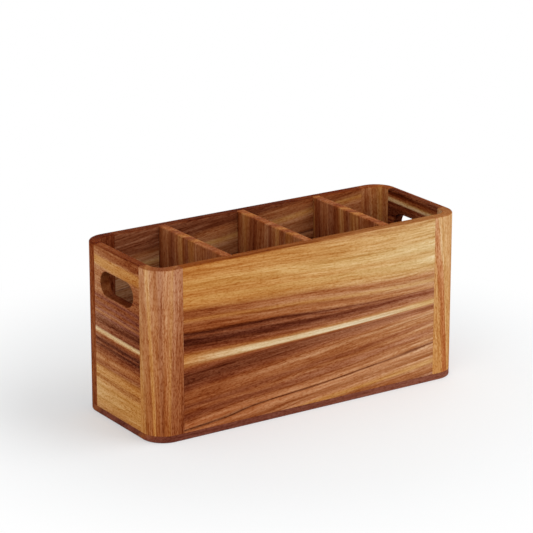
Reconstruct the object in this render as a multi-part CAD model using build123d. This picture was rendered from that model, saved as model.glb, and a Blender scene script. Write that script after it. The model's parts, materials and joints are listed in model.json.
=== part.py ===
"""Utensil holder: a four-compartment caddy of solid acacia boards.

All sizes are in millimetres. +Z is up, +X runs along the holder from its left end to its right end,
and the front panel faces -Y. The origin is the middle of the underside.
"""
import os

from build123d import *

# The holder's outline
length = 344.0
width = 131.0
height = 165.0
corner_radius = 22.0

# Board thicknesses
wall = 10.0
base_thickness = 6.5
divider_thickness = 9.0

# Corner posts: how far each leg reaches from the outer corner to its seam
post_long_leg = 31.0
post_end_leg = 25.5

# Hand slots: one in each end panel, with this much wood from its ends to the seams and from its
# middle line to the rim
slot_margin = 11.0
slot_height = 23.0
slot_drop = 33.0

# Dividers: lift-out boards that stand dry in upright grooves in the front and back panels
divider_names = ("left_divider", "middle_divider", "right_divider")
divider_spacing = 88.0
groove_depth = 3.0
groove_clearance = 0.25

# Dowels: glued across every seam between a panel and a post
dowel_diameter = 5.0
dowel_post_depth = 8.0
dowel_panel_depth = 12.0
dowel_chamfer = 0.6
dowel_clearance = 0.1
dowel_end_gap = 0.5
dowel_height_shares = (0.14, 0.50, 0.92)

# Screws: countersunk from below, up through the base into the panels' lower edges
screw_diameter = 3.0
screw_length = 20.0
screw_point = 4.0
screw_head_diameter = 5.6
screw_head_height = 1.6
screw_sink = 0.3
screw_clearance = 0.1
screw_place_shares = (-0.42, -0.155, 0.155, 0.42)

# Eased edges
rim_easing = 1.6
base_easing = 1.0
slot_easing = 1.2
divider_easing = 1.2

# How far a cutting shape runs past what it cuts
overrun = 5.0

# Sizes that follow from the ones above
wall_height = height - base_thickness
inner_length = length - 2 * wall
inner_width = width - 2 * wall
inner_radius = corner_radius - wall
seam_x = length / 2 - post_long_leg
seam_y = width / 2 - post_end_leg
wall_middle_x = length / 2 - wall / 2
wall_middle_y = width / 2 - wall / 2
slot_length = 2 * (seam_y - slot_margin)
slot_z = height - slot_drop
groove_width = divider_thickness + 2 * groove_clearance
dowel_length = dowel_post_depth + dowel_panel_depth
dowel_shift = dowel_panel_depth - dowel_length / 2
middle_index = (len(divider_names) - 1) / 2
divider_places = [(index - middle_index) * divider_spacing for index in range(len(divider_names))]
sides = (-1, 1)


def slab(long, wide, radius, floor, thick):
    """A board with rounded corners, lying flat at the height of its floor."""
    return Pos(Z=floor) * extrude(RectangleRounded(long, wide, radius), thick)


def block(corner, opposite):
    """A box between two opposite corners, given in any order."""
    low = [min(pair) for pair in zip(corner, opposite)]
    size = [abs(a - b) for a, b in zip(corner, opposite)]
    return Pos(*low) * Box(*size, align=(Align.MIN, Align.MIN, Align.MIN))


def wall_ring():
    """The four walls and corners as one ring with an eased rim, which the seams then divide."""
    outside = slab(length, width, corner_radius, base_thickness, wall_height)
    inside = slab(inner_length, inner_width, inner_radius, base_thickness - overrun, height + overrun)
    ring = outside - inside
    return fillet(ring.edges().group_by(Axis.Z)[-1], rim_easing)


def along_seams(make):
    """One shape across each dowel joint, made along X at the long seams and along Y at the end seams."""
    shapes = []
    for side_x in sides:
        for side_y in sides:
            for share in dowel_height_shares:
                level = base_thickness + share * wall_height
                long_seam = Pos(side_x * (seam_x - dowel_shift), side_y * wall_middle_y, level)
                end_seam = Pos(side_x * wall_middle_x, side_y * (seam_y - dowel_shift), level)
                shapes.append(long_seam * Rot(Y=90) * make())
                shapes.append(end_seam * Rot(X=90) * make())
    return shapes


def dowel():
    """A round pin with chamfered ends, standing along Z about its middle."""
    pin = Cylinder(dowel_diameter / 2, dowel_length)
    return chamfer(pin.edges().filter_by(GeomType.CIRCLE), dowel_chamfer)


def dowel_hole():
    """The two facing holes for one dowel, with room for glue round it and at both ends."""
    return Cylinder(dowel_diameter / 2 + dowel_clearance, dowel_length + 2 * dowel_end_gap)


def screw(grow=0.0):
    """A countersunk screw standing on its head, with its radii and length grown by a clearance."""
    head = screw_head_diameter / 2 + grow
    shank = screw_diameter / 2 + grow
    tip = screw_length + grow
    outline = Polyline(
        (0, 0), (head, 0), (shank, screw_head_height), (shank, tip - screw_point), (0, tip), close=True
    )
    return revolve(Plane.XZ * make_face(outline), Axis.Z)


def screw_hole():
    """The hole for one screw: its own form with clearance, and a round mouth below the sunk head."""
    mouth_radius = screw_head_diameter / 2 + screw_clearance
    mouth = Cylinder(mouth_radius, overrun, align=(Align.CENTER, Align.CENTER, Align.MAX))
    return screw(screw_clearance) + mouth


def at_screw_places(make):
    """One shape at each screw, spread along the front and back panels and one at each end."""
    places = [(share * 2 * seam_x, side * wall_middle_y) for side in sides for share in screw_place_shares]
    places += [(side * wall_middle_x, 0) for side in sides]
    return [Pos(x, y, screw_sink) * make() for x, y in places]


def base_board():
    """The base: flush with the walls, eased along its lower edge and drilled for the screws."""
    board = slab(length, width, corner_radius, 0, base_thickness)
    board = fillet(board.edges().group_by(Axis.Z)[0], base_easing)
    return board - at_screw_places(screw_hole)


def long_panel(ring, side):
    """The front or back panel: the ring between the long seams, grooved inside for the dividers."""
    inner_face = side * inner_width / 2
    panel = ring & block(
        (-seam_x, 0, base_thickness), (seam_x, side * (width / 2 + overrun), height)
    )
    grooves = [
        block(
            (x - groove_width / 2, inner_face + side * groove_depth, base_thickness - overrun),
            (x + groove_width / 2, inner_face - side * overrun, height + overrun),
        )
        for x in divider_places
    ]
    return panel - grooves


def end_panel(ring, side):
    """An end panel: the ring between the end seams, with the hand slot cut through and eased."""
    blank = ring & block(
        (0, -seam_y, base_thickness), (side * (length / 2 + overrun), seam_y, height)
    )
    outline = Plane.YZ * SlotOverall(slot_length, slot_height)
    cutter = Pos(side * wall_middle_x, 0, slot_z) * extrude(outline, wall / 2 + overrun, both=True)
    panel = blank - cutter
    slot_edges = new_edges(blank, cutter, combined=panel).filter_by(Axis.X, reverse=True)
    return fillet(slot_edges, slot_easing)


def corner_post(ring, side_x, side_y):
    """A corner post: the rounded corner of the ring, from the long seam to the end seam."""
    return ring & block(
        (side_x * seam_x, side_y * seam_y, base_thickness),
        (side_x * (length / 2 + overrun), side_y * (width / 2 + overrun), height),
    )


def divider(x):
    """A lift-out divider, flush with the rim, with its ends in the grooves and its top edges eased."""
    span = inner_width + 2 * (groove_depth - groove_clearance)
    board = Pos(x, 0, base_thickness) * Box(
        divider_thickness, span, wall_height, align=(Align.CENTER, Align.CENTER, Align.MIN)
    )
    top_edges = board.edges().filter_by(Axis.Y).group_by(Axis.Z)[-1]
    return fillet(top_edges, divider_easing)


def walls():
    """The panels and posts by name, with the holes for their dowels and screws."""
    ring = wall_ring()
    pieces = {
        "front_panel": long_panel(ring, -1),
        "back_panel": long_panel(ring, 1),
        "left_end_panel": end_panel(ring, -1),
        "right_end_panel": end_panel(ring, 1),
        "front_left_post": corner_post(ring, -1, -1),
        "front_right_post": corner_post(ring, 1, -1),
        "back_left_post": corner_post(ring, -1, 1),
        "back_right_post": corner_post(ring, 1, 1),
    }
    holes = along_seams(dowel_hole) + at_screw_places(screw_hole)
    return {name: piece - holes for name, piece in pieces.items()}


def holder():
    """Every piece of the holder by name."""
    pieces = {"base_board": base_board()}
    pieces.update(walls())
    pieces.update({name: divider(x) for name, x in zip(divider_names, divider_places)})
    pieces["corner_dowels"] = Compound(along_seams(dowel))
    pieces["base_screws"] = Compound(at_screw_places(screw))
    return pieces


os.makedirs("parts", exist_ok=True)
for node, shape in holder().items():
    export_step(shape, f"parts/{node}.step")
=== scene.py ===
"""Acacia utensil holder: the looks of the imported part, modelled over its CAD frame.

Sizes are in metres and every piece lies in the frame's own axes: +X along the holder from its left end
to its right end, the front panel facing -Y, +Z up, with the origin in the middle of the underside.
"""
import json
import math
from contextlib import contextmanager

import bmesh
import bpy
from bpy.props import FloatProperty, FloatVectorProperty, PointerProperty
from mathutils import Matrix, Vector

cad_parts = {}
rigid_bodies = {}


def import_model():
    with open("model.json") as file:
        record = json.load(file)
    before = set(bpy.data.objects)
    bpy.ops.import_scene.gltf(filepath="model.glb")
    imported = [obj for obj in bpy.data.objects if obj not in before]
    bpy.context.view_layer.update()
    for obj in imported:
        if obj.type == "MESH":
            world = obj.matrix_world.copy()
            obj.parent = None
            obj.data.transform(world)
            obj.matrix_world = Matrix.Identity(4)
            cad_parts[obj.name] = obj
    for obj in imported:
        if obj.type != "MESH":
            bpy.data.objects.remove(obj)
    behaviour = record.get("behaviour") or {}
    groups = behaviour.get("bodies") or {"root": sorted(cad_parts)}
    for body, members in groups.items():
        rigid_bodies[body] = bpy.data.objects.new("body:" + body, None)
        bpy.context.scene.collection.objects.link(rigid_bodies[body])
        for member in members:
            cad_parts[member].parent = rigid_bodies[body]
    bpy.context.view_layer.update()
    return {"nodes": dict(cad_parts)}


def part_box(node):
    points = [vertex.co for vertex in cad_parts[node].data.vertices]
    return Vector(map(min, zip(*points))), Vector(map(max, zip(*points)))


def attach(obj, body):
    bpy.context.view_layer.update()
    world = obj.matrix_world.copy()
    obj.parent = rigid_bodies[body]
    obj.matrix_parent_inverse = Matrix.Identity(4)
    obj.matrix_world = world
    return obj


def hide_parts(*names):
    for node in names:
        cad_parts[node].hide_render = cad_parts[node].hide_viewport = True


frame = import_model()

bl_info = {
    "name": "Acacia Utensil Holder",
    "version": (1, 0, 0),
    "blender": (4, 5, 0),
    "location": "View3D > Sidebar > Holder",
    "description": "Models an acacia utensil holder over its packed CAD frame",
    "category": "Object",
}

MM = 0.001

# Sizes read from the frame
base_low, base_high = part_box("base_board")
front_low, front_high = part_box("front_panel")
end_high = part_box("left_end_panel")[1]
middle_low, middle_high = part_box("middle_divider")
divider_step = sum(corner.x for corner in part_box("right_divider")) / 2

# How finely the rounded forms are divided
CORNER_STEPS = 16
RIM_STEPS = 4
EDGE_STEPS = 2
SLOT_STEPS = 24
SCREW_STEPS = 24
SMOOTH_ANGLE = math.radians(40)
MERGE_GAP = 0.002 * MM
TOUCH = 0.02 * MM
UPWARD = 0.9


def colour(red, green, blue):
    """A screen colour, 0 to 255, as the linear colour that shaders take."""
    def linear(level):
        share = level / 255
        return share / 12.92 if share <= 0.04045 else ((share + 0.055) / 1.055) ** 2.4
    return linear(red), linear(green), linear(blue)


def length(name, description, default):
    """A length that a user can change in the sidebar."""
    return FloatProperty(
        name=name, description=description, default=default, min=0, precision=4, unit="LENGTH",
        subtype="DISTANCE",
    )


def tone(name, description, red, green, blue):
    """A colour that a user can change in the sidebar."""
    return FloatVectorProperty(
        name=name, description=description, default=colour(red, green, blue), min=0, max=1, size=3,
        subtype="COLOR",
    )


class HolderSizes(bpy.types.PropertyGroup):
    """Sizes of the holder's boards, slots and fixings."""

    length: length("Length", "Overall length, end to end", base_high.x - base_low.x)
    width: length("Width", "Overall width, front to back", base_high.y - base_low.y)
    height: length("Height", "Height of the rim above the worktop", front_high.z)
    corner_radius: length("Corner Radius", "Outer radius of the corner posts", 22 * MM)
    wall: length("Wall", "Thickness of the panels and posts", front_high.y - front_low.y)
    base: length("Base", "Thickness of the bottom board", base_high.z)
    long_seam: length("Long Seam", "Distance of the front and back seams from the middle", front_high.x)
    end_seam: length("End Seam", "Distance of the end seams from the middle", end_high.y)
    rim_easing: length("Rim Easing", "Radius along both edges of the rim", 1.6 * MM)
    base_easing: length("Base Easing", "Radius along the lower edge of the bottom board", 1.0 * MM)
    seam_easing: length("Seam Easing", "Fine rounding of every other edge", 0.25 * MM)
    slot_length: length("Slot Length", "Length of each hand slot", 58 * MM)
    slot_height: length("Slot Height", "Height of each hand slot", 23 * MM)
    slot_level: length("Slot Level", "Height of the middle of the hand slots", 132 * MM)
    slot_easing: length("Slot Easing", "Radius round the mouths of the hand slots", 1.2 * MM)
    divider: length("Divider", "Thickness of the dividers", middle_high.x - middle_low.x)
    divider_span: length("Divider Span", "Length of the dividers, groove to groove", 2 * middle_high.y)
    divider_spacing: length("Divider Spacing", "Distance between dividers", divider_step)
    divider_easing: length("Divider Easing", "Radius along the top edges of the dividers", 1.2 * MM)
    groove_depth: length("Groove Depth", "Depth of the divider grooves", 3 * MM)
    groove_clearance: length("Groove Clearance", "Room on each side of a divider", 0.25 * MM)
    screw_shank: length("Screw Shank", "Diameter of the screws", 3 * MM)
    screw_length: length("Screw Length", "Length of the screws, head included", 20 * MM)
    screw_point: length("Screw Point", "Length of the screws' tapered point", 4 * MM)
    screw_head: length("Screw Head", "Diameter of the countersunk heads", 5.6 * MM)
    screw_head_height: length("Screw Head Height", "Height of the countersunk heads", 1.6 * MM)
    screw_sink: length("Screw Sink", "Depth of the heads below the underside", 0.3 * MM)
    drill_clearance: length("Drill Clearance", "Room round each dowel and screw", 0.1 * MM)


class HolderColours(bpy.types.PropertyGroup):
    """Colours of the wood's bands and of the fixings."""

    cream: tone("Cream", "Bright middle of the sapwood stripe", 210, 175, 128)
    straw: tone("Straw", "Dull end of the sapwood stripe", 196, 147, 90)
    honey: tone("Honey", "Lightest heartwood", 192, 134, 70)
    gold: tone("Gold", "Golden heartwood", 182, 118, 57)
    amber: tone("Amber", "Orange heartwood", 163, 99, 47)
    ginger: tone("Ginger", "Reddish orange streak", 165, 88, 40)
    tan: tone("Tan", "Pale pinkish brown", 150, 86, 48)
    copper: tone("Copper", "Orange brown of the posts", 153, 84, 39)
    clay: tone("Clay", "Pink brown of the lower front", 169, 102, 61)
    russet: tone("Russet", "Reddish lines", 136, 70, 34)
    chestnut: tone("Chestnut", "Reddish brown", 116, 55, 29)
    umber: tone("Umber", "Dark brown", 96, 44, 23)
    ebony: tone("Ebony", "Darkest heartwood lines", 72, 27, 13)
    cocoa: tone("Cocoa", "Purplish brown of the bottom board and the ends", 114, 57, 41)
    plum: tone("Plum", "Darker brown of the bottom board", 93, 43, 31)
    # Rim: the tint of the painted shade along the top of the walls.
    rim: tone("Rim", "Tint of the oiled rim", 196, 162, 134)
    # The right end's rim takes a fainter painted shade than the others.
    faint_rim_shade: tone("Dry Rim", "Tint of the right end's rim, which took up less oil", 252, 244, 212)
    # Slot: darkens the walls of the hand slots, partly oil in their end grain and partly painted shade
    # of the recess.
    slot: tone("Slot", "Tint of the oiled walls of the hand slots", 160, 133, 110)
    blush: tone("Blush", "Tint of the lighter end of a board", 255, 245, 232)
    # Painted sheen: the bluish-white tint at the lighter end of the front and back panels.
    painted_sheen: tone("Pallor", "Tint of the lighter end of the front and back panels", 238, 247, 255)
    beech: tone("Beech", "Dowel wood", 214, 178, 132)
    zinc: tone("Zinc", "Plated screws", 196, 193, 184)


# Modelling helpers

def clear_selection():
    """Deselects every object, so that the next operator touches only what it adds."""
    bpy.ops.object.select_all(action="DESELECT")


def pick(thing):
    """Makes one object the only selected one, and the active one."""
    clear_selection()
    thing.select_set(True)
    bpy.context.view_layer.objects.active = thing


def rename(thing, name):
    """Names an object and its mesh alike."""
    thing.name = name
    thing.data.name = name
    return thing


def discard(*things):
    """Deletes patterns and cutters that have done their work."""
    for thing in things:
        pick(thing)
        bpy.ops.object.delete()


def copy_of(thing, name):
    """A copy of one object, selected and active."""
    pick(thing)
    bpy.ops.object.duplicate()
    return rename(bpy.context.object, name)


def join(things, name):
    """Several objects as one."""
    clear_selection()
    for thing in things:
        thing.select_set(True)
    bpy.context.view_layer.objects.active = things[0]
    bpy.ops.object.join()
    return rename(things[0], name)


def settle():
    """Puts the active object's place, turn and scale into its mesh."""
    bpy.ops.object.transform_apply(location=True, rotation=True, scale=True)


@contextmanager
def editing(thing, mode="VERT"):
    """Edit mode on one object, selecting by vertex, edge or face."""
    pick(thing)
    bpy.ops.object.mode_set(mode="EDIT")
    bpy.ops.mesh.select_mode(type=mode)
    bpy.ops.mesh.select_all(action="SELECT")
    yield
    bpy.ops.object.mode_set(mode="OBJECT")


def select(thing, kind, test):
    """Selects the edges or faces that pass a test, in edit mode."""
    bpy.ops.mesh.select_mode(type=kind)
    bpy.ops.mesh.select_all(action="DESELECT")
    mesh = bmesh.from_edit_mesh(thing.data)
    for part in mesh.edges if kind == "EDGE" else mesh.faces:
        part.select_set(test(part))
    bmesh.update_edit_mesh(thing.data)


def lies_at(edge, axis, value):
    """Whether both ends of an edge lie at one coordinate."""
    return all(abs(vertex.co[axis] - value) < TOUCH for vertex in edge.verts)


def turns(edge):
    """Whether the faces beside an edge meet at a clear angle."""
    return len(edge.link_faces) == 2 and edge.calc_face_angle() > SMOOTH_ANGLE


def extrude(x=0, y=0, z=0):
    """Extrudes the selected faces by a distance."""
    bpy.ops.mesh.extrude_region_move(TRANSFORM_OT_translate={"value": (x, y, z)})


def face_outwards():
    """Turns every face of the piece being edited outwards."""
    bpy.ops.mesh.select_all(action="SELECT")
    bpy.ops.mesh.normals_make_consistent(inside=False)


def round_over(radius):
    """Rounds the selected edges."""
    bpy.ops.mesh.bevel(offset=radius, segments=RIM_STEPS, affect="EDGES")


def looks_up(face):
    """Whether a face looks upwards."""
    return face.normal.z > UPWARD


def add_box(name, low, high):
    """A box between its lowest and highest corners."""
    clear_selection()
    low, high = Vector(low), Vector(high)
    bpy.ops.mesh.primitive_cube_add(size=1, location=(low + high) / 2)
    box = rename(bpy.context.object, name)
    box.scale = high - low
    settle()
    return box


def add_rounded_sheet(name, long, wide, radius, steps, level=0):
    """A flat sheet with rounded corners."""
    clear_selection()
    bpy.ops.mesh.primitive_plane_add(size=1, location=(0, 0, level))
    sheet = rename(bpy.context.object, name)
    sheet.scale = (long, wide, 1)
    settle()
    with editing(sheet):
        bpy.ops.mesh.bevel(offset=radius, segments=steps, affect="VERTICES", clamp_overlap=True)
        bpy.ops.mesh.select_all(action="SELECT")
        bpy.ops.mesh.remove_doubles(threshold=MERGE_GAP)
    return sheet


def apply_modifier(thing, kind, **settings):
    """Adds a modifier with its settings and applies it."""
    pick(thing)
    bpy.ops.object.modifier_add(type=kind)
    modifier = thing.modifiers[-1]
    for name, value in settings.items():
        setattr(modifier, name, value)
    bpy.ops.object.modifier_apply(modifier=modifier.name)


def cut(thing, cutter):
    """Takes a cutter's shape out of a piece."""
    apply_modifier(thing, "BOOLEAN", operation="DIFFERENCE", solver="EXACT", object=cutter)


def shade(thing):
    """Smooth shading that keeps flat faces flat."""
    pick(thing)
    bpy.ops.object.shade_smooth_by_angle(angle=SMOOTH_ANGLE)
    apply_modifier(thing, "WEIGHTED_NORMAL", keep_sharp=True)


def finish_board(board, sizes, *drills):
    """Rounds off every sharp edge a little, as sanding leaves it, then drills and shades a board."""
    apply_modifier(
        board, "BEVEL", width=sizes.seam_easing, segments=EDGE_STEPS, limit_method="ANGLE",
        angle_limit=SMOOTH_ANGLE, use_clamp_overlap=True,
    )
    for drill in drills:
        cut(board, drill)
    shade(board)


def coat(thing, material):
    """Gives a piece its one material."""
    thing.data.materials.clear()
    thing.data.materials.append(material)


def place(thing, node, body, slot, material):
    """Gives a finished piece its material and puts it in the place of its CAD node."""
    coat(thing, material)
    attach(thing, body)
    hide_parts(node)


# The walls

def add_wall_ring(sizes):
    """The four walls and corners as one ring with an eased rim, a pattern for the panels and posts."""
    ring = add_rounded_sheet(
        "wall_ring", sizes.length, sizes.width, sizes.corner_radius, CORNER_STEPS, sizes.base
    )
    with editing(ring, "FACE"):
        bpy.ops.mesh.inset(thickness=sizes.wall, use_even_offset=True)
        bpy.ops.mesh.delete(type="FACE")
        bpy.ops.mesh.select_all(action="SELECT")
        extrude(z=sizes.height - sizes.base)
        face_outwards()
        select(ring, "EDGE", lambda edge: lies_at(edge, 2, sizes.height) and turns(edge))
        round_over(sizes.rim_easing)
    return ring


def take_from(ring, name, cuts):
    """A copy of the ring, kept only behind every cutting plane, with its cut ends closed."""
    piece = copy_of(ring, name)
    with editing(piece):
        for point, away in cuts:
            bpy.ops.mesh.select_all(action="SELECT")
            bpy.ops.mesh.bisect(plane_co=point, plane_no=away, use_fill=True, clear_outer=True)
    return piece


def add_groove_cutter(sizes, side):
    """Three bars that cut the divider grooves into the inner face of a long panel."""
    inner = side * (sizes.width / 2 - sizes.wall)
    half = sizes.divider / 2 + sizes.groove_clearance
    bars = []
    for index in (-1, 0, 1):
        middle = index * sizes.divider_spacing
        near, far = sorted((inner + side * sizes.groove_depth, 0))
        bars.append(
            add_box("groove", (middle - half, near, 0), (middle + half, far, 2 * sizes.height))
        )
    return join(bars, "groove_cutter")


def add_slot_cutter(sizes, side):
    """A bar with round ends that cuts the hand slot through an end panel."""
    cutter = add_rounded_sheet(
        "slot_cutter", sizes.slot_height, sizes.slot_length, sizes.slot_height / 2, SLOT_STEPS
    )
    cutter.rotation_euler = (0, math.radians(90), 0)
    cutter.location = (side * (sizes.length / 2 - 2 * sizes.wall), 0, sizes.slot_level)
    pick(cutter)
    settle()
    with editing(cutter, "FACE"):
        extrude(x=side * 3 * sizes.wall)
        face_outwards()
    return cutter


def ease_slot(panel, sizes, side):
    """Rounds the mouths of a hand slot, on both faces of its panel."""
    faces = [side * (sizes.length / 2 - depth) for depth in (0, sizes.wall)]
    half_long = sizes.slot_length / 2 + TOUCH
    half_high = sizes.slot_height / 2 + TOUCH

    def at_mouth(edge):
        in_slot = all(
            abs(vertex.co.y) < half_long and abs(vertex.co.z - sizes.slot_level) < half_high
            for vertex in edge.verts
        )
        return in_slot and turns(edge) and any(lies_at(edge, 0, face) for face in faces)

    with editing(panel, "EDGE"):
        select(panel, "EDGE", at_mouth)
        round_over(sizes.slot_easing)


def add_drill(node, clearance, mouth=0):
    """A cutter in the shape of a node's fixings, grown by a clearance and run down past their heads."""
    drill = copy_of(frame["nodes"][node], node + "_drill")
    bpy.ops.object.parent_clear(type="CLEAR")
    with editing(drill):
        bpy.ops.mesh.remove_doubles(threshold=MERGE_GAP)
    apply_modifier(drill, "DISPLACE", strength=clearance, mid_level=0)
    if mouth:
        lowest = min(vertex.co.z for vertex in drill.data.vertices)
        with editing(drill, "FACE"):
            select(drill, "FACE", lambda face: face.calc_center_median().z < lowest + TOUCH)
            extrude(z=-mouth)
    return drill


def add_drills(sizes):
    """The cutters for the dowels and the screws that hold the panels."""
    return [add_drill(node, sizes.drill_clearance) for node in ("corner_dowels", "base_screws")]


# Node helpers

NODE_STEP = 190


class Signal:
    """What comes out of a node. Sums and products of signals add the nodes that work them out."""

    def __init__(self, sheet, socket):
        self.sheet = sheet
        self.socket = socket

    def math(self, operation, *others):
        """The result of one Math node that this signal enters first."""
        return self.sheet.math(operation, self, *others)

    def __add__(self, other):
        return self.math("ADD", other)

    def __sub__(self, other):
        return self.math("SUBTRACT", other)

    def __rsub__(self, other):
        return self.sheet.math("SUBTRACT", other, self)

    def __mul__(self, other):
        return self.math("MULTIPLY", other)

    def __truediv__(self, other):
        return self.math("DIVIDE", other)

    def __pow__(self, other):
        return self.math("POWER", other)

    def __abs__(self):
        return self.math("ABSOLUTE")

    def spread(self, amount, middle=0.5, lean=0.0):
        """A value from 0 to 1, as a swing of about plus or minus an amount round its middle.

        A lean makes its low side stand out and its high side flatten.
        """
        centred = self - middle
        if lean:
            centred = centred * (1.0 - centred * lean)
        return centred * amount * 2.0

    def ease(self, start, end, low=0.0, high=1.0):
        """A smooth step from low to high between two values."""
        return self.sheet.result(
            "ShaderNodeMapRange",
            {"Value": self, "From Min": start, "From Max": end, "To Min": low, "To Max": high},
            interpolation_type="SMOOTHSTEP",
        )


class NodeSheet:
    """One node tree being drawn from left to right."""

    def __init__(self, tree):
        self.tree = tree

    def add(self, kind, wires=None, **settings):
        """Adds a node, with its settings and its inputs, which are signals or plain values."""
        node = self.tree.nodes.new(kind)
        node.location.x = NODE_STEP * len(self.tree.nodes)
        for name, value in settings.items():
            setattr(node, name, value)
        for name, value in (wires or {}).items():
            if isinstance(value, Signal):
                self.tree.links.new(value.socket, node.inputs[name])
            else:
                node.inputs[name].default_value = value
        return node

    def signals(self, kind, wires=None, **settings):
        """Every output of a new node, by name."""
        node = self.add(kind, wires, **settings)
        return {socket.name: Signal(self, socket) for socket in node.outputs}

    def result(self, kind, wires=None, output=0, **settings):
        """One output of a new node."""
        return Signal(self, self.add(kind, wires, **settings).outputs[output])

    def math(self, operation, *values):
        """The result of one Math node."""
        return self.result("ShaderNodeMath", dict(enumerate(values)), operation=operation)

    def vector(self, operation, *values, output=0):
        """The result of one Vector Math node."""
        return self.result("ShaderNodeVectorMath", dict(enumerate(values)), output, operation=operation)

    def point(self, x, y, z=0.0):
        """Three coordinates as one place."""
        return self.result("ShaderNodeCombineXYZ", {0: x, 1: y, 2: z})

    def axes(self, place):
        """The three coordinates of a place, by name."""
        return self.signals("ShaderNodeSeparateXYZ", {0: place})

    def noise(self, place, cells, detail, roughness=0.5):
        """Noise from 0 to 1, with its cells counted per metre along, across and through the grain."""
        cell = self.vector("MULTIPLY", place, cells)
        return self.result(
            "ShaderNodeTexNoise",
            {"Vector": cell, "Scale": 1.0, "Detail": detail, "Roughness": roughness},
        )

    def bump(self, height, strength, distance):
        """A normal that follows a height."""
        return self.result(
            "ShaderNodeBump", {"Height": height, "Strength": strength, "Distance": distance}
        )

    def mix(self, factor, first, second, blend="MIX"):
        """Two colours mixed."""
        return self.result(
            "ShaderNodeMix", {0: factor, 6: first, 7: second}, 2, data_type="RGBA", blend_type=blend
        )

    def group(self, name, **wires):
        """A shared group, with its inputs by name."""
        inputs = {label.replace("_", " ").title(): value for label, value in wires.items()}
        return self.signals("ShaderNodeGroup", inputs, node_tree=bpy.data.node_groups[name])


def opaque(shade_colour):
    """A colour with full alpha."""
    return (*shade_colour, 1.0)


SOCKETS = {1: "NodeSocketFloat", 3: "NodeSocketVector", 4: "NodeSocketColor"}
WHITE = (1.0, 1.0, 1.0, 1.0)
NOWHERE = (0.0, 0.0, 0.0)


def start_group(name, inputs, outputs):
    """A shader group with named inputs and outputs, each given with a default value."""
    tree = bpy.data.node_groups.new(name, "ShaderNodeTree")
    for direction, sockets in (("INPUT", inputs), ("OUTPUT", outputs)):
        for label, default in sockets.items():
            size = len(default) if isinstance(default, tuple) else 1
            socket = tree.interface.new_socket(name=label, in_out=direction, socket_type=SOCKETS[size])
            socket.default_value = default
    sheet = NodeSheet(tree)
    return sheet, sheet.signals("NodeGroupInput")


def end_group(sheet, **results):
    """Wires a group's results to its outputs."""
    sheet.add("NodeGroupOutput", {name.title(): value for name, value in results.items()})


# The wood

# Noise cells per metre along, across and through the grain, and on the screws' plate
WAVE_CELLS = (4.5, 40.0, 40.0)
THREAD_CELLS = (14.0, 420.0, 420.0)
STREAK_CELLS = (38.0, 560.0, 560.0)
LINE_CELLS = (5.0, 420.0, 420.0)
BROAD_CELLS = (8.0, 170.0, 170.0)
FLECK_CELLS = (330.0, 800.0, 800.0)
PORE_CELLS = (95.0, 900.0, 900.0)
CROWD_CELLS = (30.0, 160.0, 160.0)
MOTTLE_CELLS = (900.0, 900.0, 900.0)
SCRATCH_CELLS = (400.0, 6000.0, 6000.0)

# Steps in the depth of the rings, from the middle of the sapwood stripe, and along the run of a board
CALM_WAVES = (0.0, 25 * MM)
CALM_THREADS = (0.5 * MM, 7 * MM)
SQUEEZE_UNDER = -3.2 * MM
SQUEEZE_OVER = 6.0 * MM
EARLY_BEND = 1.35
LATE_BEND = -0.35
PINCH_DEPTH = (-16 * MM, -13.5 * MM, 1.0, 0.0)
PINCH_REACH = (0.35, 1.0)
KEEP_DEPTH = (50 * MM, 66 * MM)
STRIPE_SHIFT = 2.5 * MM
STRIPE_EDGE = (2 * MM, 6.5 * MM, 1.0, 0.0)
GLOW_COMES = (-0.05, 0.25)
GLOW_GOES = (0.62, 0.98, 1.0, 0.0)


def build_ring_group():
    """Growth rings: how deep in the log each point of a board lies, from its place in the grain."""
    sheet, entry = start_group(
        "Acacia Rings",
        {
            "Grain": NOWHERE, "Variant": 0.0, "Level": 0.0, "Rise": 0.0, "Curve": 1.6, "Run": 1.0,
            "Tilt": 0.4, "Squeeze Below": 0.0, "Squeeze Above": 0.0, "Pinch": 0.0, "Splay": 0.0,
            "Warp": 5 * MM, "Fibre": 2.5 * MM, "Shine": 0.0, "Keep": 0.0,
        },
        {"Ring": 0.0, "Flow": NOWHERE, "Reach": 0.0, "Fade": 0.0, "Glow": 0.0},
    )
    along, across, through = sheet.axes(entry["Grain"]).values()
    depth = through + entry["Variant"]
    grain = sheet.point(along, across, depth)
    reach = (along / entry["Run"]).math("MAXIMUM", 0.0)
    below = entry["Level"] + reach ** entry["Curve"] * entry["Rise"] - across
    below = below + through * entry["Tilt"]
    waves = sheet.noise(grain, WAVE_CELLS, 2.0).spread(entry["Warp"])
    below = below + waves * abs(below).ease(*CALM_WAVES)
    under = 1.0 - (below.math("MAXIMUM", 0.0) / SQUEEZE_UNDER).math("EXPONENT")
    over = 1.0 - (below.math("MINIMUM", 0.0) / SQUEEZE_OVER).math("EXPONENT")
    squeeze = under * entry["Squeeze Below"] - over * entry["Squeeze Above"]
    bend = (reach * LATE_BEND + EARLY_BEND) * reach
    ring = below + squeeze * bend
    pinch = below.ease(*PINCH_DEPTH) * reach.ease(*PINCH_REACH)
    ring = ring - pinch * entry["Pinch"]
    ring = ring * ((1.0 - reach) * entry["Splay"] + 1.0)
    flow = sheet.point(along, ring, depth)
    threads = sheet.noise(flow, THREAD_CELLS, 3.0, 0.6).spread(entry["Fibre"])
    ring = ring + threads * abs(ring).ease(*CALM_THREADS)
    stripe = abs(ring + STRIPE_SHIFT).ease(*STRIPE_EDGE)
    middle = reach.ease(*GLOW_COMES) * reach.ease(*GLOW_GOES)
    glow = stripe * middle * entry["Shine"]
    fade = reach * (1.0 - ring.ease(*KEEP_DEPTH) * entry["Keep"])
    end_group(sheet, ring=ring, flow=flow, reach=reach, fade=fade, glow=glow)


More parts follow.
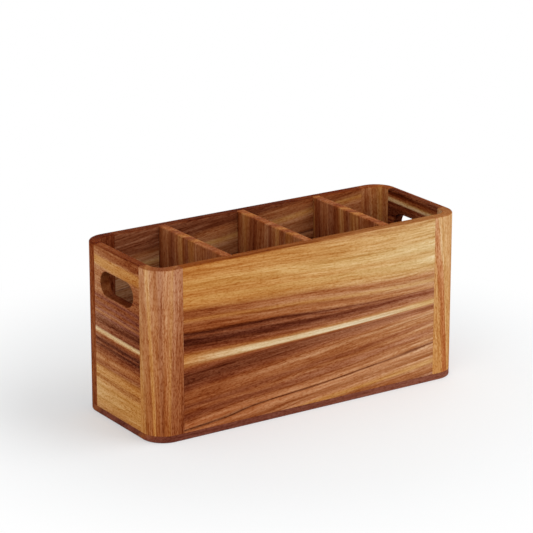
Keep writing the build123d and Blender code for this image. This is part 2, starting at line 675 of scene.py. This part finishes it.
# Bands of each kind of board: a colour, then the depths in the log, in millimetres, where it stands
BANDS = {
    "Board Bands": (
        ("amber", -98), ("gold", -92, -82), ("honey", -76.5, -71.5), ("gold", -66.5, -64),
        ("honey", -61), ("gold", -56), ("amber", -52), ("russet", -49, -46.3), ("tan", -44),
        ("amber", -40.5), ("tan", -37), ("russet", -34.5, -31), ("ebony", -28.5), ("umber", -26.5),
        ("chestnut", -25.3), ("umber", -24.2), ("ebony", -21.5, -19), ("umber", -17),
        ("chestnut", -13.5), ("russet", -10.8), ("amber", -8.2), ("gold", -6, -1.5), ("amber", 2),
        ("russet", 5), ("chestnut", 8.5), ("umber", 12.5, 20), ("chestnut", 25.5), ("russet", 29),
        ("tan", 31.7), ("russet", 34.5, 38), ("chestnut", 42.5), ("russet", 46.5),
        ("chestnut", 50.5, 53.5), ("russet", 56.5), ("clay", 59, 62), ("ebony", 63.4),
        ("clay", 64.8, 68), ("tan", 71, 75), ("clay", 77.5), ("gold", 82), ("tan", 85.5),
        ("russet", 88.5, 92), ("umber", 96),
    ),
    "End Bands": (
        ("amber", -80), ("gold", -76), ("honey", -71, -55), ("gold", -52.5), ("amber", -50, -48),
        ("gold", -45, -39.5), ("amber", -37), ("tan", -34.8), ("russet", -32.5), ("copper", -28),
        ("russet", -25), ("chestnut", -20.4), ("umber", -18.4), ("ebony", -17.2), ("chestnut", -15.6),
        ("umber", -14.2), ("ebony", -13.2, -12.2), ("umber", -10.8), ("chestnut", -8.8), ("russet", -7),
        ("tan", -5.4), ("straw", -3.8), ("cream", -2.8, -1.2), ("chestnut", 0.2, 4), ("umber", 6, 12.5),
        ("cocoa", 14), ("tan", 15.6, 17), ("cocoa", 18.8), ("russet", 21), ("cocoa", 23.5),
        ("russet", 27), ("cocoa", 30), ("russet", 34), ("tan", 37.5), ("russet", 39.6),
        ("chestnut", 41.2), ("russet", 42.6), ("tan", 46, 58.5), ("gold", 61.5, 68), ("tan", 71),
        ("russet", 74, 80), ("amber", 88), ("gold", 97), ("amber", 104), ("russet", 110),
        ("chestnut", 117), ("umber", 122), ("chestnut", 126), ("russet", 134), ("tan", 145),
        ("amber", 156),
    ),
    "Post Bands": (
        ("chestnut", -34), ("russet", -24, -12.5), ("amber", -10.8, -9.6), ("copper", -8, -4),
        ("russet", 0.5, 3), ("copper", 6.5, 10.5), ("gold", 13.5, 15.5), ("copper", 18, 24),
        ("amber", 30), ("gold", 34, 44.5), ("ginger", 47, 50.4), ("gold", 51.1), ("straw", 51.7),
        ("honey", 52.8), ("gold", 58, 70), ("amber", 80),
    ),
    "Divider Bands": (
        ("russet", -60), ("amber", -50), ("russet", -44), ("chestnut", -37), ("russet", -30),
        ("tan", -20), ("chestnut", -12), ("russet", -4), ("amber", 3), ("russet", 8), ("chestnut", 15),
        ("amber", 22), ("russet", 30), ("tan", 37), ("russet", 44), ("chestnut", 52), ("russet", 60),
    ),
    "Core Bands": (
        ("cocoa", -60), ("plum", -51), ("cocoa", -45), ("plum", -38), ("cocoa", -30), ("russet", -20),
        ("plum", -12), ("cocoa", -4, 3), ("plum", 8, 15), ("cocoa", 22), ("plum", 30), ("russet", 37),
        ("cocoa", 44), ("plum", 52), ("cocoa", 60),
    ),
}
RAMP_STOPS = 32


def add_band_ramp(sheet, ring, bands, colours):
    """The colours of a run of bands, no more than one ramp holds."""
    first, last = bands[0][0], bands[-1][0]
    place_in_log = sheet.result(
        "ShaderNodeMapRange", {"Value": ring, "From Min": first * MM, "From Max": last * MM}
    )
    ramp = sheet.add("ShaderNodeValToRGB", {"Fac": place_in_log})
    stops = ramp.color_ramp.elements
    while len(stops) < len(bands):
        stops.new(1.0)
    for stop, (depth, band) in zip(stops, bands):
        stop.position = (depth - first) / (last - first)
        stop.color = opaque(getattr(colours, band))
    return Signal(sheet, ramp.outputs["Color"])


def build_band_group(name, bands, colours):
    """The colour of each growth ring, with a bright tone where it glows."""
    sheet, entry = start_group(name, {"Ring": 0.0, "Glow": 0.0}, {"Color": WHITE})
    stops = [(depth, band) for band, *depths in bands for depth in depths]
    band = add_band_ramp(sheet, entry["Ring"], stops[:RAMP_STOPS], colours)
    if len(stops) > RAMP_STOPS:
        deeper = stops[RAMP_STOPS - 1:]
        past = entry["Ring"].math("GREATER_THAN", deeper[0][0] * MM)
        band = sheet.mix(past, band, add_band_ramp(sheet, entry["Ring"], deeper, colours))
    end_group(sheet, color=sheet.mix(entry["Glow"], band, opaque(colours.cream)))


# Where each kind of fibre begins and ends in its noise, and how the fibres change colour and surface
LINE_EDGE = (0.3, 0.7)
FLECK_EDGE = (0.3, 0.55)
FLECK_MIDDLE = 0.74
PORE_EDGE = (0.15, 0.4, 1.0, 0.0)
CROWD_EDGE = (0.42, 0.62)
FIBRE_LEAN = 1.6
SWING_IN_VALUE = 0.25
WOOD_ROUGHNESS = 0.62
STREAK_GLOSS = -0.12
PORE_ROUGHNESS = 0.2
STREAK_HEIGHT = 0.35
OILED_SHINE = 0.006


def build_fibre_group():
    """Fibres and open pores that follow the rings of every board, each darker where it is redder."""
    sheet, entry = start_group(
        "Acacia Fibres",
        {
            "Color": WHITE, "Flow": NOWHERE, "Contrast": 1.0, "Streaks": 0.42, "Lines": 0.09,
            "Bands": 0.34, "Flecks": 0.1, "Pores": 0.4,
        },
        {"Color": WHITE, "Roughness": 0.4, "Height": 0.0},
    )
    flow = entry["Flow"]
    streaks = sheet.noise(flow, STREAK_CELLS, 4.0, 0.65)
    lines = sheet.noise(flow, LINE_CELLS, 3.0).ease(*LINE_EDGE)
    broad = sheet.noise(flow, BROAD_CELLS, 3.0)
    flecks = sheet.noise(flow, FLECK_CELLS, 2.0).ease(*FLECK_EDGE)
    crowd = sheet.noise(flow, CROWD_CELLS, 2.0).ease(*CROWD_EDGE)
    cells = sheet.vector("MULTIPLY", flow, PORE_CELLS)
    pores = sheet.result("ShaderNodeTexVoronoi", {"Vector": cells, "Scale": 1.0}, "Distance")
    pores = pores.ease(*PORE_EDGE) * crowd
    swing = streaks.spread(entry["Streaks"], lean=FIBRE_LEAN)
    swing = swing + lines.spread(entry["Lines"], lean=FIBRE_LEAN)
    swing = swing + broad.spread(entry["Bands"], lean=FIBRE_LEAN)
    swing = swing * entry["Contrast"] + flecks.spread(entry["Flecks"], FLECK_MIDDLE)
    power = pores * entry["Pores"] + 1.0 - swing
    toned = sheet.result("ShaderNodeGamma", {"Color": entry["Color"], "Gamma": power})
    value = swing * SWING_IN_VALUE + 1.0
    toned = sheet.result("ShaderNodeVectorMath", {0: toned, "Scale": value}, operation="SCALE")
    roughness = streaks * STREAK_GLOSS + WOOD_ROUGHNESS + pores * PORE_ROUGHNESS
    height = streaks * STREAK_HEIGHT - pores
    end_group(sheet, color=toned, roughness=roughness, height=height)


# Where the painted shade on the rim, and the oil with painted shade in a hand slot, begin and end, from
# the top of the rim and from the edge of a hand slot
RIM_SHADE = (-1.5 * MM, -0.3 * MM)
SLOT_OIL_AND_SHADE = (0.1 * MM, 1.2 * MM, 1.0, 0.0)


def build_rim_shade_group(sizes):
    """Painted shade that darkens the upper edge of the walls."""
    sheet, entry = start_group(
        "Painted Rim Shade",
        {"Color": WHITE, "Place": NOWHERE, "Rim": sizes.height, "Tint": WHITE},
        {"Color": WHITE},
    )
    above = sheet.axes(entry["Place"])["Z"] - entry["Rim"]
    # Painted shade: darkens the top of the walls.
    mask = above.ease(*RIM_SHADE)
    end_group(sheet, color=sheet.mix(mask, entry["Color"], entry["Tint"], "MULTIPLY"))


def build_slot_oil_and_shade_group(sizes):
    """Darkens the walls of the hand slots: oil soaked into their end grain, with painted shade of the
    recess.
    """
    radius = sizes.slot_height / 2
    sheet, entry = start_group(
        "Slot Oil And Shade",
        {
            "Color": WHITE, "Place": NOWHERE, "Level": sizes.slot_level, "Radius": radius,
            "Straight": sizes.slot_length / 2 - radius, "Tint": WHITE,
        },
        {"Color": WHITE},
    )
    axes = sheet.axes(entry["Place"])
    beside = (abs(axes["Y"]) - entry["Straight"]).math("MAXIMUM", 0.0)
    offset = sheet.point(beside, axes["Z"] - entry["Level"])
    outside = sheet.vector("LENGTH", offset, output="Value") - entry["Radius"]
    # Oil in the slot's end grain, with painted shade of the recess.
    mask = outside.ease(*SLOT_OIL_AND_SHADE)
    end_group(sheet, color=sheet.mix(mask, entry["Color"], entry["Tint"], "MULTIPLY"))


def build_groups(context):
    """Builds the shared groups once."""
    if "Acacia Rings" in bpy.data.node_groups:
        return
    sizes, colours = context.scene.holder_sizes, context.scene.holder_colours
    build_ring_group()
    for name, bands in BANDS.items():
        build_band_group(name, bands, colours)
    build_fibre_group()
    build_rim_shade_group(sizes)
    build_slot_oil_and_shade_group(sizes)


def new_material(name):
    """An empty node material, the sheet it is drawn on, and the place of each point of its piece."""
    material = bpy.data.materials.new(name)
    material.use_nodes = True
    material.node_tree.nodes.clear()
    sheet = NodeSheet(material.node_tree)
    return material, sheet, sheet.result("ShaderNodeTexCoord", output="Object")


def finish_material(sheet, wires):
    """Ends a material with a Principled shader, with the shader's inputs."""
    shader = sheet.result("ShaderNodeBsdfPrincipled", wires)
    sheet.add("ShaderNodeOutputMaterial", {"Surface": shader})


def acacia(
    context, name, bands, along, across, start, gammas=(1.0, 1.0), tint="blush", liveliness=0.0,
    rim="rim", slot=None, fibres=None, **rings
):
    """Oiled acacia, with its grain along one direction and its rings counted across another.

    The two gammas, plain or for red, green and blue, lighten the wood from the start of its run to the
    end. There it takes on the tint, and liveliness is how much more its fibres stand out. On the front
    and back panels this lightening and tint are partly the wood's own tone and partly a painted sheen,
    and on the dividers they are painted light. The rim takes on painted shade, and the hand slot oil
    with painted shade, in the tints named for them, where it has them.
    """
    build_groups(context)
    colours = context.scene.holder_colours
    material, sheet, spot = new_material(name)
    along, across = Vector(along).normalized(), Vector(across).normalized()
    turn = Matrix((along, across, along.cross(across)))
    grain = sheet.result(
        "ShaderNodeMapping",
        {"Vector": spot, "Location": -(turn @ Vector(start)), "Rotation": turn.to_euler("XYZ")},
    )
    ring = sheet.group("Acacia Rings", grain=grain, **rings)
    band = sheet.group(bands, ring=ring["Ring"], glow=ring["Glow"])["Color"]
    deep, pale = (Vector((gamma,) * 3 if isinstance(gamma, float) else gamma) for gamma in gammas)
    faded = sheet.vector("MULTIPLY_ADD", ring["Fade"], pale - deep, deep)
    band = sheet.vector("POWER", band, faded)
    band = sheet.mix(ring["Fade"], band, opaque(getattr(colours, tint)), "MULTIPLY")
    contrast = ring["Reach"] * liveliness + 1.0
    wood = sheet.group(
        "Acacia Fibres", color=band, flow=ring["Flow"], contrast=contrast, **(fibres or {})
    )
    surface = wood["Color"]
    # Painted shade on the rim; oil with painted shade in the hand slot.
    for edge, oil in (("Painted Rim Shade", rim), ("Slot Oil And Shade", slot)):
        if oil:
            rim_and_slot_tint = opaque(getattr(colours, oil))
            surface = sheet.group(edge, color=surface, place=spot, tint=rim_and_slot_tint)["Color"]
    bump = sheet.bump(wood["Height"], strength=0.35, distance=0.12 * MM)
    finish_material(sheet, {
        "Base Color": surface, "Roughness": wood["Roughness"], "Normal": bump,
        "Specular IOR Level": OILED_SHINE,
    })
    return material


def beech(context):
    """Plain turned beech with fine rays."""
    build_groups(context)
    material, sheet, spot = new_material("turned_beech")
    wood = sheet.group(
        "Acacia Fibres", color=opaque(context.scene.holder_colours.beech), flow=spot, streaks=0.2,
        lines=0.1, bands=0.1, flecks=0.03, pores=0.2,
    )
    bump = sheet.bump(wood["Height"], strength=0.3, distance=0.1 * MM)
    finish_material(
        sheet, {"Base Color": wood["Color"], "Roughness": wood["Roughness"], "Normal": bump}
    )
    return material


# How rough the screws' plate is, and how its mottle shows
MOTTLE_VALUE = 0.12
PLATE_ROUGHNESS = 0.22
MOTTLE_ROUGHNESS = 0.2


def plated_zinc(context):
    """Bright zinc plate with a faint mottle and fine scratches."""
    material, sheet, spot = new_material("plated_zinc")
    mottle = sheet.noise(spot, MOTTLE_CELLS, 4.0)
    scratches = sheet.noise(spot, SCRATCH_CELLS, 3.0)
    zinc = opaque(context.scene.holder_colours.zinc)
    value = mottle.spread(MOTTLE_VALUE) + 1.0
    toned = sheet.result("ShaderNodeHueSaturation", {"Value": value, "Color": zinc})
    roughness = mottle * MOTTLE_ROUGHNESS + PLATE_ROUGHNESS
    bump = sheet.bump(scratches, strength=0.2, distance=0.02 * MM)
    finish_material(
        sheet, {"Base Color": toned, "Metallic": 1.0, "Roughness": roughness, "Normal": bump}
    )
    return material


# Operators, one for each group of like pieces

class HOLDER_OT_bottom_board(bpy.types.Operator):
    """Adds the bottom board, eased along its lower edge and drilled for its screws"""

    bl_idname = "holder.bottom_board"
    bl_label = "Bottom Board"
    bl_options = {"REGISTER", "UNDO"}

    drill_mouth = 2 * MM
    fibres = {"streaks": 0.2, "lines": 0.05, "bands": 0.15, "flecks": 0.08, "pores": 0.2}

    def execute(self, context):
        sizes = context.scene.holder_sizes
        board = add_rounded_sheet(
            "bottom_board", sizes.length, sizes.width, sizes.corner_radius, CORNER_STEPS
        )
        with editing(board, "FACE"):
            extrude(z=sizes.base)
            face_outwards()
            select(board, "EDGE", lambda edge: lies_at(edge, 2, 0))
            round_over(sizes.base_easing)
        drill = add_drill("base_screws", sizes.drill_clearance, self.drill_mouth)
        finish_board(board, sizes, drill)
        discard(drill)
        material = acacia(
            context, "acacia_bottom", "Core Bands", (1, 0, 0), (0, 0.3, 1), (base_low.x, 0, 0),
            gammas=(0.89, 0.68), rim=None, fibres=self.fibres, run=sizes.length, level=12 * MM,
            warp=6 * MM, variant=2.3,
        )
        place(board, "base_board", "carcass", "acacia_base", material)
        return {"FINISHED"}


class HOLDER_OT_long_panels(bpy.types.Operator):
    """Adds the front and back panels, grooved inside for the dividers"""

    bl_idname = "holder.long_panels"
    bl_label = "Front and Back Panels"
    bl_options = {"REGISTER", "UNDO"}

    # The back panel's figure runs upside down, partly for variety and partly so that dark rings fall at
    # the top of its inner face: painted shade in the compartments.
    stripe_levels = {"front": 73 * MM, "back": 80 * MM}
    variants = {"front": 0.0, "back": 1.7}

    def execute(self, context):
        sizes = context.scene.holder_sizes
        ring = add_wall_ring(sizes)
        drills = add_drills(sizes)
        for side, word in ((-1, "front"), (1, "back")):
            seam = Vector((sizes.long_seam, 0, 0))
            panel = take_from(
                ring, word + "_board", [(seam, seam), (-seam, -seam), ((0, 0, 0), (0, -side, 0))]
            )
            grooves = add_groove_cutter(sizes, side)
            cut(panel, grooves)
            discard(grooves)
            finish_board(panel, sizes, *drills)
            start = (side * sizes.long_seam, side * sizes.width / 2, self.stripe_levels[word])
            # The lightening and bluish-white tint towards one end of each long panel are partly the
            # wood's own tone and partly a painted sheen.
            material = acacia(
                context, "acacia_" + word, "Board Bands", (-side, 0, 0), (0, 0, -side), start,
                gammas=(0.99, (0.36, 0.47, 0.53)), tint="painted_sheen", liveliness=0.45, rise=7.2 * MM,
                curve=2.6, run=2 * sizes.long_seam, squeeze_below=22.5 * MM, squeeze_above=10 * MM,
                pinch=6 * MM, fibre=1.6 * MM, shine=1.0, keep=0.3, variant=self.variants[word],
            )
            place(panel, word + "_panel", "carcass", "acacia_panel", material)
        discard(ring, *drills)
        return {"FINISHED"}


class HOLDER_OT_end_panels(bpy.types.Operator):
    """Adds the two end panels with their hand slots"""

    bl_idname = "holder.end_panels"
    bl_label = "End Panels"
    bl_options = {"REGISTER", "UNDO"}

    # The right end's stripe sits up by its rim, and its gammas darken it towards the back, so that its
    # inner face below the rim is dark: painted shade. Its rim takes a fainter painted shade.
    stripe_levels = {"left": 85 * MM, "right": 157 * MM}
    figures = {
        "left": {"gammas": (0.98, 0.6), "rise": -1.8 * MM, "variant": 0.4},
        "right": {
            "gammas": (1.08, 0.8), "rim": "faint_rim_shade", "rise": -1.2 * MM, "tilt": -0.4, "variant": 2.9,
        },
    }
    fibres = {"flecks": 0.17, "pores": 0.6}

    def execute(self, context):
        sizes = context.scene.holder_sizes
        ring = add_wall_ring(sizes)
        drills = add_drills(sizes)
        for side, word in ((-1, "left"), (1, "right")):
            seam = Vector((0, sizes.end_seam, 0))
            panel = take_from(
                ring, word + "_end_board", [(seam, seam), (-seam, -seam), ((0, 0, 0), (-side, 0, 0))]
            )
            slot = add_slot_cutter(sizes, side)
            cut(panel, slot)
            discard(slot)
            ease_slot(panel, sizes, side)
            finish_board(panel, sizes, *drills)
            start = (side * sizes.length / 2, side * sizes.end_seam, self.stripe_levels[word])
            material = acacia(
                context, f"acacia_{word}_end", "End Bands", (0, -side, 0), (0, 0, side), start,
                slot="slot", fibres=self.fibres, run=2 * sizes.end_seam, fibre=1.5 * MM,
                **self.figures[word],
            )
            place(panel, word + "_end_panel", "carcass", "acacia_panel", material)
        discard(ring, *drills)
        return {"FINISHED"}


class HOLDER_OT_corner_posts(bpy.types.Operator):
    """Adds the four rounded corner posts"""

    bl_idname = "holder.corner_posts"
    bl_label = "Corner Posts"
    bl_options = {"REGISTER", "UNDO"}

    # The back left post sits in its darkest bands, with gammas that darken it: painted shade.
    figures = {
        "front_left": {"level": 5 * MM, "splay": 0.9, "variant": 5.1},
        "front_right": {"level": 60 * MM, "rise": 12 * MM, "variant": 6.4},
        "back_left": {"level": -34 * MM, "rise": 4 * MM, "splay": 0.1, "variant": 7.7},
        "back_right": {"level": 8 * MM, "rise": 5 * MM, "splay": 0.2, "variant": 8.2},
    }
    gammas = {
        "front_left": (0.94, (0.58, 0.56, 0.52)), "front_right": (0.89, (0.6, 0.54, 0.5)),
        "back_left": (1.12, 0.92), "back_right": (1.0, 0.7),
    }
    fibres = {"streaks": 0.6, "lines": 0.05, "bands": 0.26, "flecks": 0.15, "pores": 0.55}

    def execute(self, context):
        sizes = context.scene.holder_sizes
        ring = add_wall_ring(sizes)
        drill = add_drill("corner_dowels", sizes.drill_clearance)
        for side_x, end in ((-1, "left"), (1, "right")):
            for side_y, face in ((-1, "front"), (1, "back")):
                name = f"{face}_{end}"
                post = take_from(
                    ring, name + "_corner",
                    [
                        ((side_x * sizes.long_seam, 0, 0), (-side_x, 0, 0)),
                        ((0, side_y * sizes.end_seam, 0), (0, -side_y, 0)),
                    ],
                )
                finish_board(post, sizes, drill)
                corner = (side_x * sizes.length / 2, side_y * sizes.width / 2, 0)
                material = acacia(
                    context, f"acacia_{name}_post", "Post Bands", (0, 0, 1), (-side_x, side_y, 0),
                    corner, gammas=self.gammas[name], fibres=self.fibres, run=sizes.height, tilt=0.0,
                    fibre=2.2 * MM, **self.figures[name],
                )
                place(post, name + "_post", "carcass", "acacia_post", material)
        discard(ring, drill)
        return {"FINISHED"}


class HOLDER_OT_dividers(bpy.types.Operator):
    """Adds the three lift-out dividers"""

    bl_idname = "holder.dividers"
    bl_label = "Dividers"
    bl_options = {"REGISTER", "UNDO"}

    figures = {
        "left": {"level": 14 * MM, "rise": 5 * MM, "variant": 9.3},
        "middle": {"level": -8 * MM, "rise": -4 * MM, "variant": 10.6},
        "right": {"level": 4 * MM, "rise": 6 * MM, "variant": 11.2},
    }

    def execute(self, context):
        sizes = context.scene.holder_sizes
        half_thick, half_long = sizes.divider / 2, sizes.divider_span / 2
        for index, word in ((-1, "left"), (0, "middle"), (1, "right")):
            middle = index * sizes.divider_spacing
            board = add_box(
                word + "_divider_board", (middle - half_thick, -half_long, sizes.base),
                (middle + half_thick, half_long, sizes.height),
            )
            with editing(board, "EDGE"):
                select(board, "EDGE", lambda edge: (
                    lies_at(edge, 2, sizes.height) and lies_at(edge, 0, edge.verts[0].co.x)
                ))
                round_over(sizes.divider_easing)
            finish_board(board, sizes)
            # Lighter towards the top and darker down in the compartments: painted light and shade.
            material = acacia(
                context, f"acacia_{word}_divider", "Divider Bands", (0, 0, 1), (0, 1, 0),
                (middle, 0, 0), gammas=(1.0, 0.8), rim=None, run=sizes.height, warp=10 * MM,
                fibre=8 * MM, **self.figures[word],
            )
            place(board, word + "_divider", word + "_divider", "acacia_divider", material)
        return {"FINISHED"}


class HOLDER_OT_dowels(bpy.types.Operator):
    """Gives the hidden dowels their beech"""

    bl_idname = "holder.dowels"
    bl_label = "Dowels"
    bl_options = {"REGISTER", "UNDO"}

    def execute(self, context):
        coat(frame["nodes"]["corner_dowels"], beech(context))
        return {"FINISHED"}


class HOLDER_OT_screws(bpy.types.Operator):
    """Adds the countersunk screws under the bottom board"""

    bl_idname = "holder.screws"
    bl_label = "Screws"
    bl_options = {"REGISTER", "UNDO"}

    long_shares = (-0.42, -0.155, 0.155, 0.42)
    recess_long = 3.0 * MM
    recess_wide = 0.75 * MM
    recess_deep = 1.3 * MM
    recess_taper = (0.3, 0.6, 1)
    point_taper = (0.08, 0.08, 1)

    def add_screw(self, sizes):
        """One screw standing on its head, with a cross recess."""
        clear_selection()
        head, shank = sizes.screw_head / 2, sizes.screw_shank / 2
        high = sizes.screw_head_height
        bpy.ops.mesh.primitive_cone_add(
            vertices=SCREW_STEPS, radius1=head, radius2=shank, depth=high, location=(0, 0, high / 2)
        )
        screw = rename(bpy.context.object, "screw_pattern")
        settle()
        with editing(screw, "FACE"):
            select(screw, "FACE", looks_up)
            extrude(z=sizes.screw_length - sizes.screw_point - high)
            extrude(z=sizes.screw_point)
            bpy.ops.transform.resize(
                value=self.point_taper, center_override=(0, 0, sizes.screw_length)
            )
        for turn in (0, 90):
            recess = add_box(
                "recess", (-self.recess_long / 2, -self.recess_wide / 2, -self.recess_deep),
                (self.recess_long / 2, self.recess_wide / 2, self.recess_deep),
            )
            with editing(recess, "FACE"):
                select(recess, "FACE", looks_up)
                bpy.ops.transform.resize(
                    value=self.recess_taper, center_override=(0, 0, self.recess_deep)
                )
            pick(recess)
            recess.rotation_euler.z = math.radians(turn)
            settle()
            cut(screw, recess)
            discard(recess)
        return screw

    def execute(self, context):
        sizes = context.scene.holder_sizes
        pattern = self.add_screw(sizes)
        long_y = (sizes.width - sizes.wall) / 2
        end_x = (sizes.length - sizes.wall) / 2
        spots = []
        for side in (-1, 1):
            spots += [(share * 2 * sizes.long_seam, side * long_y) for share in self.long_shares]
        spots += [(side * end_x, 0) for side in (-1, 1)]
        copies = []
        for x, y in spots:
            screw = copy_of(pattern, "screw")
            screw.location = (x, y, sizes.screw_sink)
            settle()
            copies.append(screw)
        discard(pattern)
        screws = join(copies, "countersunk_screws")
        shade(screws)
        place(screws, "base_screws", "carcass", "zinc_screw", plated_zinc(context))
        return {"FINISHED"}


class HOLDER_OT_stage(bpy.types.Operator):
    """Sets up the pale floor, the soft light and the camera"""

    bl_idname = "holder.stage"
    bl_label = "Stage"
    bl_options = {"REGISTER", "UNDO"}

    floor_size = 12.0
    floor_drop = 0.1 * MM
    fade_start = 0.22
    fade_end = 0.42
    floor_lift = 0.33
    floor_colour = (0.92, 0.94, 0.95, 1)
    floor_roughness = 0.6
    floor_shine = 0.1
    world_strength = 0.58
    camera_place = (-1.2718, -1.9108, 0.8577)
    camera_pitch = 17.732
    camera_yaw = 33.474
    camera_lens = 172.06
    camera_sensor = 36
    lamp_aim = (0, 0, 0.08)
    lamps = (
        ("key_lamp", (1.0, -0.85, 1.7), 1.7, 21.0),
        ("fill_lamp", (-1.8, -1.3, 1.0), 1.6, 13.0),
    )

    def seen_directly(self, sheet):
        """Whether a ray comes from the camera, a reflection or through glass."""
        rays = sheet.signals("ShaderNodeLightPath")
        seen = rays["Is Camera Ray"].math("MAXIMUM", rays["Is Glossy Ray"])
        return seen.math("MAXIMUM", rays["Is Transmission Ray"])

    def add_floor(self):
        """A pale floor that keeps the shadow and fades to white away from the holder."""
        clear_selection()
        bpy.ops.mesh.primitive_plane_add(size=self.floor_size, location=(0, 0, -self.floor_drop))
        floor = rename(bpy.context.object, "floor")
        settle()
        material, sheet, spot = new_material("pale_floor")
        distance = sheet.vector("LENGTH", spot, output="Value")
        far = distance.ease(self.fade_start, self.fade_end, self.floor_lift)
        near = sheet.result(
            "ShaderNodeBsdfPrincipled",
            {
                "Base Color": self.floor_colour, "Roughness": self.floor_roughness,
                "Specular IOR Level": self.floor_shine,
            },
        )
        white = sheet.result("ShaderNodeEmission", {"Color": WHITE, "Strength": 1.0})
        both = sheet.result(
            "ShaderNodeMixShader", {0: far * self.seen_directly(sheet), 1: near, 2: white}
        )
        sheet.add("ShaderNodeOutputMaterial", {"Surface": both})
        coat(floor, material)

    def light_world(self, scene):
        """A plain white surround, dimmer as a light than it looks."""
        world = bpy.data.worlds.new("studio")
        scene.world = world
        world.use_nodes = True
        world.node_tree.nodes.clear()
        sheet = NodeSheet(world.node_tree)
        strength = self.seen_directly(sheet).ease(0.0, 1.0, self.world_strength, 1.0)
        surround = sheet.result("ShaderNodeBackground", {"Color": WHITE, "Strength": strength})
        sheet.add("ShaderNodeOutputWorld", {"Surface": surround})

    def add_lamps(self):
        """Two large soft lamps aimed at the holder."""
        aim = Vector(self.lamp_aim)
        for name, spot, size, power in self.lamps:
            clear_selection()
            bpy.ops.object.light_add(type="AREA", location=spot)
            lamp = bpy.context.object
            lamp.name = lamp.data.name = name
            lamp.data.size = size
            lamp.data.energy = power
            lamp.rotation_euler = (aim - Vector(spot)).to_track_quat("-Z", "Y").to_euler()

    def add_camera(self, scene):
        """The camera, in the photograph's place."""
        clear_selection()
        turn = (math.radians(90 - self.camera_pitch), 0, -math.radians(self.camera_yaw))
        bpy.ops.object.camera_add(location=self.camera_place, rotation=turn)
        camera = bpy.context.object
        camera.data.lens = self.camera_lens
        camera.data.sensor_width = self.camera_sensor
        scene.camera = camera

    def execute(self, context):
        self.add_floor()
        self.light_world(context.scene)
        self.add_lamps()
        self.add_camera(context.scene)
        context.scene.view_settings.view_transform = "Standard"
        return {"FINISHED"}


PIECES = (
    HOLDER_OT_bottom_board,
    HOLDER_OT_long_panels,
    HOLDER_OT_end_panels,
    HOLDER_OT_corner_posts,
    HOLDER_OT_dividers,
    HOLDER_OT_dowels,
    HOLDER_OT_screws,
    HOLDER_OT_stage,
)


class HOLDER_PT_sidebar(bpy.types.Panel):
    """Lists the holder's pieces, sizes and colours"""

    bl_idname = "HOLDER_PT_sidebar"
    bl_label = "Utensil Holder"
    bl_space_type = "VIEW_3D"
    bl_region_type = "UI"
    bl_category = "Holder"

    def draw(self, context):
        layout = self.layout
        for piece in PIECES:
            layout.operator(piece.bl_idname)
        for title, group in (("Sizes", "holder_sizes"), ("Colours", "holder_colours")):
            box = layout.box()
            box.label(text=title)
            values = getattr(context.scene, group)
            for name in values.__annotations__:
                box.prop(values, name)


CLASSES = (HolderSizes, HolderColours, *PIECES, HOLDER_PT_sidebar)


def register():
    """Registers the classes and puts the sizes and colours on the scene."""
    for item in CLASSES:
        bpy.utils.register_class(item)
    bpy.types.Scene.holder_sizes = PointerProperty(type=HolderSizes)
    bpy.types.Scene.holder_colours = PointerProperty(type=HolderColours)


def unregister():
    """Takes the sizes and colours off the scene and unregisters the classes."""
    del bpy.types.Scene.holder_colours
    del bpy.types.Scene.holder_sizes
    for item in reversed(CLASSES):
        bpy.utils.unregister_class(item)


def main():
    """Models every piece in order."""
    register()
    bpy.ops.holder.bottom_board()
    bpy.ops.holder.long_panels()
    bpy.ops.holder.end_panels()
    bpy.ops.holder.corner_posts()
    bpy.ops.holder.dividers()
    bpy.ops.holder.dowels()
    bpy.ops.holder.screws()
    bpy.ops.holder.stage()


if __name__ == "__main__":
    main()
